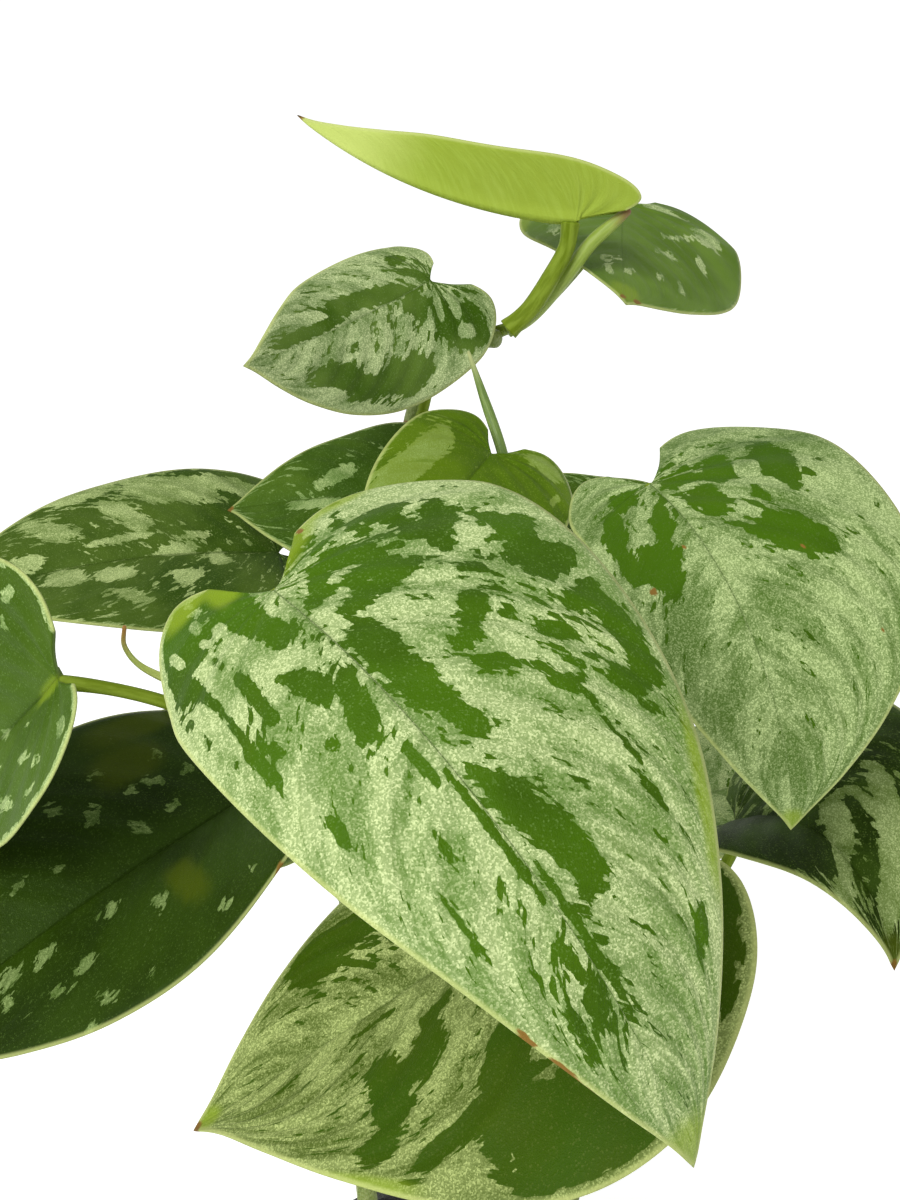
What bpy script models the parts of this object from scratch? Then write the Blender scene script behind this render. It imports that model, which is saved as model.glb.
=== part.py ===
"""Satin pothos in a plain round nursery pot: pot, soil, four vines, leaves with their petioles,
a rolled new leaf and a dry sheath. Metres, +Z up, origin at the middle of the pot's underside,
the plant's fullest side facing -Y."""
import bpy
import numpy as np
from math import radians, sin, cos, pi

# driving dimensions, in millimetres
POT_HEIGHT = 105.0
POT_RIM_RADIUS = 60.0        # outside of the rolled rim
POT_TOP_RADIUS = 57.5        # outside of the wall just under the rim
POT_BASE_RADIUS = 44.0
POT_WALL = 1.6
POT_FLOOR = 2.4
POT_RIM_DEPTH = 9.0
DRAIN_RADIUS = 3.5           # drainage holes, off the middle of the floor
DRAIN_CIRCLE = 30.0
DRAIN_COUNT = 6
SOIL_LEVEL = 93.0            # 12 mm below the rim
SOIL_BOTTOM = 6.0
SOIL_BUMP = 1.6
VINE_RADIUS = 2.3
VINE_NODE_SWELL = 0.7
HOLE_CLEARANCE = 0.5         # plain hole in the soil round each vine
VINE_BURIED = 22.0
BLADE_THICKNESS = 0.8
MIDRIB_DEPTH = 0.9           # ridge under the blade
MIDRIB_HALF_WIDTH = 1.6
PETIOLE_RADIUS = 1.6
GAP = 0.35                   # between pieces that touch
MM = 0.001

# half of a heart-shaped blade's edge: along the midrib as a share of the lobe (minus) or of the
# length (plus), and across as a share of the half width
HALF_EDGE = [(0.0, 0.0), (-0.35, 0.07), (-0.80, 0.24), (-1.0, 0.47), (-0.72, 0.72), (0.0, 0.93),
             (0.17, 1.0), (0.36, 0.96), (0.55, 0.80), (0.72, 0.54), (0.85, 0.29), (0.94, 0.10),
             (1.0, 0.0)]
EDGE_START = 2               # the sinus edge runs from the petiole to this point
JOINT_SHARE = 0.30           # share of the edge whose veins all start at the petiole

# the vines' centre lines, millimetres, from the soil up
VINES = {
    "stem_left": [(-20, -2, 71), (-20, -2, 94), (-20, -1, 116), (-24, 8, 190), (-25, 20, 250), (-22, 27, 300)],
    "stem_right": [(20, 4, 71), (20, 4, 94), (20, 5, 116), (27, 16, 190), (30, 29, 250), (29, 38, 296)],
    "stem_middle": [(2, 28, 71), (2, 28, 94), (2, 29, 116), (5, 46, 190), (9, 65, 250), (9, 76, 290)],
    "stem_back": [(-10, 14, 71), (-10, 14, 94), (-10, 16, 116), (-10, 50, 180), (-12, 96, 250), (-14, 126, 296),
                  (-13, 132, 312), (-6, 135, 323), (2, 131, 331), (8.4, 126.3, 333)],
}


def leaf(name, base, aim, size, bend, vine, height, fold=(15, 15), lobes=(12, 12), full=(1.0, 1.0),
         curl=-22, sway=0, twist=0, wave=0.8, stalk=PETIOLE_RADIUS, leave=None, via=None, fine=True,
         colour="green"):
    """One leaf. base: where the petiole meets the blade. aim: heading, pitch and roll of the
    midrib there, degrees. size: length and the two half widths. bend: droop towards the tip.
    vine and height: where the petiole leaves its vine."""
    return dict(name=name, base=np.array(base, float), aim=aim, length=size[0], left=size[1], right=size[2],
                droop=bend, vine=vine, height=height, fold=fold, lobes=lobes, full=full, curl=curl, sway=sway,
                twist=twist, wave=wave, stalk=stalk, leave=leave, via=via, fine=fine, colour=colour)


LEAVES = [
    leaf("leaf_front", (-27.5, -33, 351.5), (-57, 6, 14), (101, 38, 23.5), 95, "stem_left", 286, fold=(8, -13),
         lobes=(13, 16), full=(1.1, 1.3), curl=-24, sway=2.6, twist=-16, stalk=1.9),
    leaf("leaf_right", (34, 39.5, 333.5), (-72, 4, 6), (77.5, 36.5, 18.5), 95, "stem_right", 278, fold=(7, -16),
         lobes=(17, 14), full=(0.8, 0.7), curl=-8, stalk=1.8),
    leaf("leaf_under", (19.5, -28.5, 301), (-165, -34, 0), (79.5, 47.5, 33), -4, "stem_right", 244,
         lobes=(16.5, 13), full=(1.1, 1.0), curl=-34, stalk=1.8),
    leaf("leaf_low_left", (-46.5, 25.5, 269), (-143, -11, 10), (84, 39, 39.5), 12, "stem_left", 258,
         fold=(23, 20), lobes=(7, 12), curl=-14, twist=-40, leave=(1.0, 0.1, 0.1)),
    leaf("leaf_left", (-73.8, 9, 309.7), (158, -48, -52), (67, 24.2, 28.5), -6, "stem_left", 272,
         fold=(23, 27), lobes=(10, 8.5), curl=-15, stalk=1.5, leave=(1.0, 0.1, -0.15)),
    leaf("leaf_far_left", (-47.5, 105, 284), (-158, 13, -13), (87.5, 31, 31.5), 31, "stem_back", 246,
         fold=(16, 16), lobes=(13, 13)),
    leaf("leaf_mid_left", (-10, 98.5, 304), (175.5, -4, -25), (50, 24.5, 22), 11, "stem_back", 268,
         fold=(12, 13.5), lobes=(12.5, 12.5), curl=-21, twist=4, stalk=1.3),
    leaf("leaf_young", (5, 79, 322.5), (-110, 1, -27), (60, 23, 18.5), 32, "stem_middle", 286,
         fold=(12, 13), lobes=(12, 10), full=(1.0, 0.9), curl=-26, sway=-2, stalk=1.4, colour="young"),
    leaf("leaf_top_left", (-8.7, 124, 348), (-134, -10, -35.5), (63, 24, 16), -20, "stem_back", 305,
         fold=(-1, 2), lobes=(12, 6), full=(0.9, 1.0), curl=-30, sway=2, twist=-30, stalk=1.5),
    leaf("leaf_folded", (26.6, 135.4, 359.8), (180, 5.5, 33), (73, 15, 18), -34, "stem_back", 333,
         fold=(58, 63), lobes=(15, 14), curl=-9, wave=0.4, stalk=2.5, colour="young",
         via=[(10.3, 126.4, 335.3), (15.7, 127.8, 340), (20.9, 131.9, 347), (24.5, 134.5, 353.3)]),
    leaf("leaf_top_right", (47.5, 204, 347.5), (-99, -1, -5), (81, 38.5, 29.5), 5, "stem_back", 331,
         fold=(-8, -2), lobes=(16.5, 15), full=(0.9, 1.0), curl=-18, sway=6, twist=-17, stalk=1.5,
         via=[(7.5, 132.6, 332.4), (17, 147, 332), (32, 178, 336)]),
    leaf("leaf_low_right", (58, 35, 255), (-54, 49, -5), (58.5, 37.5, 19.5), 94, "stem_right", 218,
         fold=(44, 7), lobes=(10, 10), full=(1.1, 1.2), curl=-25, sway=-21, twist=-4),
    leaf("leaf_back_right", (46, 86, 299), (163, 14, -8), (44, 18, 16), 16, "stem_middle", 268, stalk=1.3),
    leaf("leaf_rear_left", (-26, 130, 258), (118, -4, 8), (74, 28, 28), 38, "stem_back", 232, fine=False),
    leaf("leaf_rear_middle", (2, 132, 254), (86, -6, -6), (76, 29, 27), 42, "stem_back", 216, fine=False),
    leaf("leaf_rear_right", (34, 106, 250), (36, -6, 5), (74, 27, 27), 40, "stem_middle", 224, fine=False),
    leaf("leaf_rear_low", (6, 92, 200), (96, -16, 4), (68, 27, 26), 36, "stem_middle", 164, fine=False),
    leaf("leaf_side_right", (50, 62, 238), (26, 2, 6), (62, 23, 22), 30, "stem_right", 190, fine=False),
    leaf("leaf_side_left", (-46, 64, 232), (160, -2, -6), (62, 22, 22), 30, "stem_back", 186, fine=False),
    leaf("leaf_rim_front", (-4, -34, 150), (-95, -2, 3), (72, 28, 27), 70, "stem_left", 122, fine=False),
    leaf("leaf_rim_left", (-40, -4, 138), (-174, -2, -4), (70, 26, 24), 46, "stem_left", 110, fine=False),
    leaf("leaf_rim_right", (44, -2, 138), (-4, -2, 4), (70, 25, 26), 46, "stem_right", 112, fine=False),
    leaf("leaf_rim_back", (2, 50, 150), (92, -6, 2), (68, 26, 26), 58, "stem_middle", 118, fine=False),
]


def vec(*xyz):
    return np.array(xyz, float)


def unit(v):
    return v / np.linalg.norm(v)


def catmull(points, count):
    """Smooth curve through the points, read at evenly spaced parameters."""
    p = np.array(points, float)
    p = np.vstack([2 * p[0] - p[1], p, 2 * p[-1] - p[-2]])
    spans = len(p) - 3
    t = np.linspace(0, spans, count)
    i = np.minimum(t.astype(int), spans - 1)
    f = (t - i)[:, None]
    a, b, c, d = p[i], p[i + 1], p[i + 2], p[i + 3]
    return 0.5 * (2 * b + (c - a) * f + (2 * a - 5 * b + 4 * c - d) * f ** 2 + (3 * b - a - 3 * c + d) * f ** 3)


def even(points, count, bends=0.0):
    """The same curve, read at even distances, or more closely where it bends."""
    steps = np.linalg.norm(np.diff(points, axis=0), axis=1)
    ways = np.diff(points, axis=0) / steps[:, None]
    turns = np.arccos(np.clip(np.sum(ways[1:] * ways[:-1], axis=1), -1, 1))
    steps = steps / steps.sum() + bends * np.concatenate([[0], turns]) / max(turns.sum(), 1e-6)
    run = np.concatenate([[0], np.cumsum(steps)])
    at = np.linspace(0, run[-1], count)
    return np.stack([np.interp(at, run, points[:, k]) for k in range(points.shape[1])], 1)


def make_material(name, colour, roughness):
    material = bpy.data.materials.new(name)
    material.use_nodes = True
    shader = material.node_tree.nodes["Principled BSDF"]
    shader.inputs["Base Color"].default_value = (*colour, 1.0)
    shader.inputs["Roughness"].default_value = roughness
    shader.inputs["Metallic"].default_value = 0.0
    return material


def leaf_material(name, colour):
    tint = {"green": (0.10, 0.22, 0.05), "young": (0.30, 0.46, 0.08)}[colour]
    return make_material(name + "_tissue", tint, 0.42)


def pot_material():
    return make_material("pot_plastic", (0.035, 0.036, 0.038), 0.55)


def soil_material():
    return make_material("potting_mix", (0.055, 0.035, 0.022), 0.95)


def vine_material(name):
    return make_material(name + "_bark", (0.13, 0.24, 0.06), 0.5)


def sheath_material():
    return make_material("sheath_dry", (0.38, 0.40, 0.16), 0.7)


def make_object(name, points, faces, material):
    mesh = bpy.data.meshes.new(name)
    mesh.from_pydata((np.asarray(points) * MM).tolist(), [], faces)
    mesh.validate()
    mesh.update()
    mesh.materials.append(material)
    mesh.shade_smooth()
    body = bpy.data.objects.new(name, mesh)
    bpy.context.scene.collection.objects.link(body)
    return body


def tube(points, radii, sides):
    """Closed round tube along a line of points, with flat ends."""
    points = np.asarray(points, float)
    tangents = np.gradient(points, axis=0)
    tangents /= np.linalg.norm(tangents, axis=1)[:, None]
    across = unit(np.cross(tangents[0], vec(0.31, 0.77, 0.2)))
    rings, faces = [], []
    for point, tangent, radius in zip(points, tangents, radii):
        across = unit(across - tangent * np.dot(across, tangent))
        up = np.cross(tangent, across)
        for k in range(sides):
            angle = 2 * pi * k / sides
            rings.append(point + radius * (cos(angle) * across + sin(angle) * up))
    for i in range(len(points) - 1):
        for k in range(sides):
            a, b = i * sides + k, i * sides + (k + 1) % sides
            faces.append((a, b, b + sides, a + sides))
    last = (len(points) - 1) * sides
    faces.append(tuple(reversed(range(sides))))
    faces.append(tuple(range(last, last + sides)))
    return rings, faces


def lathe(name, profile, sides, material):
    """Solid of revolution about Z from a closed profile of (radius, height) points."""
    points, faces, rows = [], [], []
    for radius, height in profile:
        if radius == 0:
            rows.append([len(points)] * sides)
            points.append((0, 0, height))
            continue
        rows.append(list(range(len(points), len(points) + sides)))
        points += [(radius * cos(2 * pi * k / sides), radius * sin(2 * pi * k / sides), height) for k in range(sides)]
    for lower, upper in zip(rows, rows[1:]):
        for k in range(sides):
            loop = (lower[k], lower[(k + 1) % sides], upper[(k + 1) % sides], upper[k])
            loop = tuple(dict.fromkeys(loop))
            if len(loop) > 2:
                faces.append(loop)
    return make_object(name, points, faces, material)


def boolean(body, others, operation, solver="MANIFOLD"):
    """Apply one Boolean of several objects to a body, then remove them."""
    group = bpy.data.collections.new(body.name + "_tools")
    bpy.context.scene.collection.children.link(group)
    for other in others:
        group.objects.link(other)
    modifier = body.modifiers.new(operation.lower(), "BOOLEAN")
    modifier.operation = operation
    modifier.operand_type = "COLLECTION"
    modifier.collection = group
    modifier.solver = solver
    bpy.context.view_layer.objects.active = body
    with bpy.context.temp_override(object=body, active_object=body, selected_objects=[body]):
        bpy.ops.object.modifier_apply(modifier=modifier.name)
    for other in others:
        bpy.data.objects.remove(other, do_unlink=True)
    bpy.data.collections.remove(group)


# the blade of a leaf

def leaf_axes(lf):
    """Midrib direction, the blade's left side and its upper face at the petiole."""
    heading, pitch, roll = (radians(v) for v in lf["aim"])
    along = vec(cos(pitch) * cos(heading), cos(pitch) * sin(heading), sin(pitch))
    side = vec(-sin(heading), cos(heading), 0)
    left = cos(roll) * side + sin(roll) * np.cross(along, side)
    return along, left, np.cross(along, left)


def bend_blade(lf, x, y):
    """Carry points of the flat blade (x along the midrib, y to the left) to their place."""
    along, left, up = leaf_axes(lf)
    length, droop = lf["length"], radians(lf["droop"])
    s = np.linspace(0, 1, 61)
    step = length / 60

    def walk(values):
        return np.concatenate([[0], np.cumsum((values[1:] + values[:-1]) / 2)]) * step

    share = x / length
    inside = np.clip(share, 0, 1)
    rib_x = np.interp(inside, s, walk(np.cos(droop * s ** 1.2))) + np.minimum(share, 0) * length
    rib_z = -np.interp(inside, s, walk(np.sin(droop * s ** 1.2)))
    rib_y = np.interp(inside, s, walk(np.sin(radians(lf["sway"]) * s)))
    angle = droop * inside ** 1.2
    width = np.where(y > 0, lf["left"], lf["right"])
    fold = np.radians(np.where(y > 0, lf["fold"][0], lf["fold"][1]))
    out = np.abs(y)
    bow = np.radians(lf["curl"]) / width
    across = (np.sin(fold + bow * out) - np.sin(fold)) / bow
    rise = (np.cos(fold) - np.cos(fold + bow * out)) / bow
    rise = rise + lf["wave"] * (out / width) ** 2 * np.sin(2 * pi * 1.6 * share + (y > 0) * 1.3)
    turn = np.radians(lf["twist"]) * inside
    across = np.sign(y) * across
    sideways = rib_y + across * np.cos(turn) - rise * np.sin(turn)
    lift = across * np.sin(turn) + rise * np.cos(turn)
    forward = rib_x + lift * np.sin(angle)
    height = rib_z + lift * np.cos(angle)
    return lf["base"] + forward[..., None] * along + sideways[..., None] * left + height[..., None] * up


def half_margin(lf, side, count):
    """The edge of one half, from the end of the sinus to the tip, as flat points."""
    width = lf["left"] if side > 0 else lf["right"]
    lobe, full = (lf["lobes"][0], lf["full"][0]) if side > 0 else (lf["lobes"][1], lf["full"][1])
    edge = [(x * lobe if x <= 0 else x ** full * lf["length"], side * y * width) for x, y in HALF_EDGE]
    smooth = catmull(edge, 20 * (len(edge) - 1) + 1)
    return even(smooth[20 * EDGE_START:], count, bends=0.8)


def vein_shares(lf, rows):
    """How far round the edge each side vein ends: the mean of both halves, so that the veins of
    both start from the same points of the midrib."""
    total = np.zeros(rows + 1)
    for side in (1, -1):
        steps = np.linalg.norm(np.diff(half_margin(lf, side, rows + 1), axis=0), axis=1)
        total += np.concatenate([[0], np.cumsum(steps)]) / steps.sum()
    return total / 2


def blade_grid(lf, side, rows, columns):
    """Flat points of one half: a row for each side vein, a column for each step outwards."""
    margin = half_margin(lf, side, rows + 1)
    share = vein_shares(lf, rows)
    origin = np.clip((share - JOINT_SHARE) / (1 - JOINT_SHARE), 0, 1) ** 1.1 * lf["length"]
    t = np.linspace(0, 1, columns + 1) ** 1.15
    x = origin[:, None] + (margin[:, :1] - origin[:, None]) * t ** 1.3
    y = margin[:, 1:] * t ** 0.95
    return x, y


def blade_surface(lf, rows, columns):
    """Both halves as one open sheet: flat points and triangles, joint and midrib shared."""
    flat, faces, index = [], [], {}

    def corner(x, y):
        key = (round(x, 3), round(y, 3))
        if key not in index:
            index[key] = len(flat)
            flat.append((x, y))
        return index[key]

    for side in (1, -1):
        x, y = blade_grid(lf, side, rows, columns)
        ids = [[corner(x[i, j], y[i, j]) for j in range(columns + 1)] for i in range(rows + 1)]
        for i in range(rows):
            for j in range(columns):
                a, b, c, d = ids[i][j], ids[i + 1][j], ids[i + 1][j + 1], ids[i][j + 1]
                for tri in ((a, b, c), (a, c, d)):
                    if len(set(tri)) == 3:
                        faces.append(tri if side > 0 else tri[::-1])
    return np.array(flat), faces


def blade_solid(lf, rows, columns):
    """The sheet thickened on both sides, with a ridge under the midrib and closed edges."""
    flat, faces = blade_surface(lf, rows, columns)
    middle = bend_blade(lf, flat[:, 0], flat[:, 1])
    tri = np.array(faces)
    normal = np.zeros_like(middle)
    face_normal = np.cross(middle[tri[:, 1]] - middle[tri[:, 0]], middle[tri[:, 2]] - middle[tri[:, 0]])
    for k in range(3):
        np.add.at(normal, tri[:, k], face_normal)
    normal /= np.linalg.norm(normal, axis=1)[:, None]
    share = np.clip(flat[:, 0] / lf["length"], 0, 1)
    ridge = MIDRIB_DEPTH * np.exp(-(flat[:, 1] / MIDRIB_HALF_WIDTH) ** 2) * (1 - share) * (flat[:, 0] > -1)
    top = middle + normal * BLADE_THICKNESS / 2
    under = middle - normal * (BLADE_THICKNESS / 2 + ridge)[:, None]
    count = len(middle)
    solid = [tuple(f) for f in faces] + [tuple(v + count for v in reversed(f)) for f in faces]
    edges = {(f[k], f[(k + 1) % 3]) for f in faces for k in range(3)}
    for a, b in edges:
        if (b, a) not in edges:
            solid += [(b, a, a + count), (b, a + count, b + count)]
    return np.vstack([top, under]), solid


# petioles and vines

def vine_line(name):
    return catmull(VINES[name], 60)


def petiole_line(lf, count):
    """From just outside the vine, out and up, to the underside of the blade at its joint."""
    line = vine_line(lf["vine"])
    node = line[np.argmin(np.abs(line[:, 2] - lf["height"]))]
    along, _, up = leaf_axes(lf)
    end = lf["base"] + along * 1.2 - up * 0.2
    away = end - node
    level = unit(vec(away[0], away[1], 0.0)) if np.hypot(away[0], away[1]) > 1 else vec(1, 0, 0)
    rise = radians(48)
    start = node + level * (VINE_RADIUS + VINE_NODE_SWELL + GAP + lf["stalk"] * sin(rise) + 0.5)
    leaving = level * cos(rise) + vec(0, 0, sin(rise))
    back = unit(vec(*lf["leave"])) if lf["leave"] else unit(-0.75 * up - 0.65 * along)
    reach = np.linalg.norm(end - start)
    handle_a, handle_b = start + leaving * reach * 0.36, end + back * reach * 0.36
    t = np.linspace(0, 1, count)[:, None]
    if lf["via"]:
        return even(catmull([*lf["via"], end], 60), count)
    return (1 - t) ** 3 * start + 3 * t * (1 - t) ** 2 * handle_a + 3 * t ** 2 * (1 - t) * handle_b + t ** 3 * end


def make_leaf(lf):
    rows, columns, joints, sides = (12, 4, 9, 7) if lf["fine"] else (9, 3, 7, 6)
    material = leaf_material(lf["name"], lf["colour"])
    body = make_object(lf["name"], *blade_solid(lf, rows, columns), material)
    line = petiole_line(lf, joints)
    along_line = np.linspace(0, 1, joints)
    radii = lf["stalk"] * (1.0 - 0.22 * along_line + 0.18 * np.exp(-((along_line - 1) / 0.1) ** 2))
    radii[0] *= 1.12
    stalk = make_object(lf["name"] + "_stalk", *tube(line, radii, sides), material)
    boolean(body, [stalk], "UNION")
    return body


def make_vine(name):
    """A vine with a slight swelling at each node."""
    line = even(vine_line(name), 26)
    radii = np.full(len(line), VINE_RADIUS)
    heights = [lf["height"] for lf in LEAVES if lf["vine"] == name]
    for height in heights:
        radii[np.argmin(np.abs(line[:, 2] - height))] += VINE_NODE_SWELL
    radii[:4] = VINE_RADIUS
    return make_object(name, *tube(line, radii, 10), vine_material(name))


def make_spear():
    """The newest leaf, still rolled tight, rising from the end of the middle vine."""
    line = even(catmull([(10, 81, 297), (10.5, 85, 308), (7.8, 88.3, 319.4), (3.8, 96.2, 329.1), (0.2, 103.5, 337.8)],
                        40), 14)
    radii = [1.0, 1.05, 1.1, 1.1, 1.15, 1.2, 1.25, 1.25, 1.25, 1.2, 1.05, 0.85, 0.6, 0.35]
    return make_object("spear", *tube(line, radii, 8), leaf_material("spear", "young"))


def make_sheath():
    """Dry sheath that peels away from the left vine and curls at its tip."""
    line = even(catmull([(-27.5, 28.5, 290), (-40, 29, 292), (-54, 28, 295), (-63, 27, 300), (-66.5, 27, 305),
                         (-66, 27, 310)], 40), 12)
    radii = [1.1, 1.5, 1.8, 1.9, 1.8, 1.6, 1.3, 1.0, 0.8, 0.6, 0.5, 0.4]
    return make_object("sheath", *tube(line, radii, 7), sheath_material())


def make_top_sheath():
    """Sheath that the folded leaf grew out of, standing behind its petiole with a blunt dry tip."""
    line = even(catmull([(10.5, 131.6, 332.9), (17, 134, 337), (25, 136, 346), (31, 137, 354),
                         (40, 137.5, 362)], 40), 10)
    radii = [1.5, 1.8, 1.9, 1.9, 1.85, 1.8, 1.75, 1.7, 1.5, 0.9]
    return make_object("sheath_top", *tube(line, radii, 7), leaf_material("sheath_top", "young"))


def make_pot():
    """Thin tapered pot with a rolled rim, a flat underside and drainage holes off its middle."""
    def wall(height):
        return POT_BASE_RADIUS + (POT_TOP_RADIUS - POT_BASE_RADIUS) * height / POT_HEIGHT

    rim_low = POT_HEIGHT - POT_RIM_DEPTH
    profile = [(0, 0), (POT_BASE_RADIUS - 1.2, 0), (POT_BASE_RADIUS, 1.2), (wall(rim_low), rim_low),
               (POT_RIM_RADIUS - 0.5, rim_low + 0.4), (POT_RIM_RADIUS, rim_low + 1.2),
               (POT_RIM_RADIUS, POT_HEIGHT - 1.0), (POT_RIM_RADIUS - 0.8, POT_HEIGHT),
               (POT_TOP_RADIUS - POT_WALL + 0.5, POT_HEIGHT), (POT_TOP_RADIUS - POT_WALL, POT_HEIGHT - 0.8),
               (wall(POT_FLOOR + 2) - POT_WALL, POT_FLOOR + 2), (wall(POT_FLOOR) - POT_WALL - 2, POT_FLOOR),
               (0, POT_FLOOR)]
    pot = lathe("pot", profile, 48, pot_material())
    holes = []
    for k in range(DRAIN_COUNT):
        angle = 2 * pi * k / DRAIN_COUNT + 0.3
        place = vec(DRAIN_CIRCLE * cos(angle), DRAIN_CIRCLE * sin(angle), 0)
        line = [place + vec(0, 0, z) for z in (-3, POT_FLOOR + 3)]
        holes.append(make_object("drain_%d" % k, *tube(line, [DRAIN_RADIUS] * 2, 16), pot_material()))
    boolean(pot, holes, "DIFFERENCE")
    return pot


def make_soil():
    """Potting mix that fills the pot, lumpy on top, with a plain hole for each vine."""
    def inner(height):
        wall = POT_BASE_RADIUS + (POT_TOP_RADIUS - POT_BASE_RADIUS) * height / POT_HEIGHT
        return wall - POT_WALL - GAP - 0.2

    sides, rings = 36, 7
    profile = [(0, SOIL_BOTTOM), (inner(SOIL_BOTTOM), SOIL_BOTTOM)]
    profile += [(inner(SOIL_LEVEL) * (rings - k) / rings, SOIL_LEVEL) for k in range(rings + 1)]
    soil = lathe("soil", profile, sides, soil_material())
    for vertex in soil.data.vertices:
        x, y, z = (v / MM for v in vertex.co)
        if z > SOIL_LEVEL - 1:
            calm = min(1.0, (inner(SOIL_LEVEL) - (x * x + y * y) ** 0.5) / 6 + 0.3)
            lump = sin(0.31 * x + 1.3) * cos(0.27 * y) + 0.6 * sin(0.73 * x - 0.52 * y) + 0.4 * cos(0.9 * y + 0.4 * x)
            vertex.co.z += MM * SOIL_BUMP * 0.55 * calm * lump
    holes = []
    for name, points in VINES.items():
        foot = vec(*points[0])
        line = [foot - vec(0, 0, 1), foot + vec(0, 0, VINE_BURIED + 8)]
        radius = VINE_RADIUS + HOLE_CLEARANCE
        holes.append(make_object("hole_" + name, *tube(line, [radius] * 2, 12), soil_material()))
    boolean(soil, holes, "DIFFERENCE")
    return soil


for old in list(bpy.data.objects):
    bpy.data.objects.remove(old, do_unlink=True)

make_pot()
make_soil()
for vine_name in VINES:
    make_vine(vine_name)
for one_leaf in LEAVES:
    make_leaf(one_leaf)
make_spear()
make_sheath()
make_top_sheath()
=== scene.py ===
from math import cos, pi, radians, sin

import bmesh
import bpy
import numpy as np
from numpy.linalg import norm
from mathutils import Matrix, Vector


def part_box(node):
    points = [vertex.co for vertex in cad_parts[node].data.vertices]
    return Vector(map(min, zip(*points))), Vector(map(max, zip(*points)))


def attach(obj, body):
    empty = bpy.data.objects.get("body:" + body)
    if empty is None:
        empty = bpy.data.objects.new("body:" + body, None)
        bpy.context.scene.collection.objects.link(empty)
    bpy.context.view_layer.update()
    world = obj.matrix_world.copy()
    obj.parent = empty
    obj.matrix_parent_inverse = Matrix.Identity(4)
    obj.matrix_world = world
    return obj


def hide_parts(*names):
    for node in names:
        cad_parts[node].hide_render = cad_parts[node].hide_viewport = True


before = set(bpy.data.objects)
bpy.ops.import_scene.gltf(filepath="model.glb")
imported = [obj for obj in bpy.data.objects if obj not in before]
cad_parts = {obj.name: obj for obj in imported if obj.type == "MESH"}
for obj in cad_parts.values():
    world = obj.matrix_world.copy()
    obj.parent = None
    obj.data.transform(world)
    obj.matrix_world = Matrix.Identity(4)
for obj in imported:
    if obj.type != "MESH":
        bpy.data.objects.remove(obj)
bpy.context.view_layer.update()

# The pot: a thin nursery pot, moulded in one piece from dark grey plastic, with a rolled rim to
# lift it by, a few shallow ribs under it and six drainage holes in its flat floor.
MM = 0.001
_, pot_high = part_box("pot")
pot_height = pot_high.z / MM
rim_radius = pot_high.x / MM
rim_depth, rim_round, rib_rise = 9.0, 1.4, 0.22
wall_top, wall_base = rim_radius - 2.5, 44.0
wall_thick, floor_thick = 1.6, 2.4
drain_radius, drain_circle, drain_count, drain_turn, plug_spare = 3.5, 30.0, 6, 0.3, 3.0


def dye(red, green, blue):
    """A colour given in 0 to 255, as the shader wants it."""
    mixed = np.array([red, green, blue]) / 255
    linear = np.where(mixed <= 0.04045, mixed / 12.92, ((mixed + 0.055) / 1.055) ** 2.4)
    return (*linear.tolist(), 1.0)


def put(socket, value):
    """Lead another node's result to a socket, or set it to a number, a vector or a colour."""
    if isinstance(value, bpy.types.NodeSocket):
        socket.id_data.links.new(value, socket)
    else:
        socket.default_value = value


def wired(kind, *values, **settings):
    """A new node in the finish that the first value comes from, with the values put to it in turn."""
    node = values[0].id_data.nodes.new("ShaderNode" + kind)
    for name, setting in settings.items():
        setattr(node, name, setting)
    for socket, value in zip(node.inputs, values):
        put(socket, value)
    return node


def calc(operation, *values):
    return wired("Math", *values, operation=operation).outputs[0]


def times(value, factor):
    return calc("MULTIPLY", value, factor)


def add(*values):
    total = values[0]
    for value in values[1:]:
        total = calc("ADD", total, value)
    return total


def ease(value, start, end, low=0.0, high=1.0):
    """Low up to the start and high from the end, softly from one to the other between them."""
    return wired("MapRange", value, start, end, low, high, interpolation_type="SMOOTHSTEP").outputs[0]


def blend(share, low, high):
    """The low colour where the share is 0 and the high one where it is 1."""
    node = wired("Mix", share, data_type="RGBA")
    for socket, colour in zip(node.inputs[6:8], (low, high)):
        put(socket, dye(*colour) if isinstance(colour, tuple) else colour)
    return node.outputs[2]


def scaled(place, factors, shift):
    factors = factors if isinstance(factors, tuple) else (factors,) * 3
    return wired("VectorMath", place, factors, shift, operation="MULTIPLY_ADD").outputs[0]


def noise(place, factors, detail=2.0, roughness=0.5, shift=(0, 0, 0)):
    """Clouds of noise; the factors say how many of them go into a unit of the place, each way."""
    node = wired("TexNoise", scaled(place, factors, shift))
    for name, value in (("Scale", 1.0), ("Detail", detail), ("Roughness", roughness)):
        node.inputs[name].default_value = value
    return node.outputs["Fac"]


class Finish:
    """One finish: it reads what a mesh keeps for its points, and gives its shader what comes of it."""

    def __init__(self, name, roughness, specular):
        self.material = bpy.data.materials.new(name)
        self.material.use_nodes = True
        self.nodes = self.material.node_tree.nodes
        self.give("Roughness", roughness)
        self.give("Specular IOR Level", specular)

    def give(self, name, value):
        put(self.nodes["Principled BSDF"].inputs[name], value)

    def read(self, name):
        """What the mesh keeps under this name: a vector for a place, and a number for the rest."""
        node = self.nodes.new("ShaderNodeAttribute")
        node.attribute_name = name
        return node.outputs["Vector" if name.endswith("place") else "Fac"]

    def bump(self, height, depth):
        node = self.nodes.new("ShaderNodeBump")
        for name, value in (("Strength", 1.0), ("Distance", depth), ("Height", height)):
            put(node.inputs[name], value)
        self.give("Normal", node.outputs[0])

    def colour(self, value):
        self.give("Base Color", value)
        return self.material


def meshed(name, points, faces):
    """A mesh from points in millimetres."""
    mesh = bpy.data.meshes.new(name)
    mesh.from_pydata((np.asarray(points) * MM).tolist(), [], faces)
    mesh.update()
    return mesh


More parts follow.
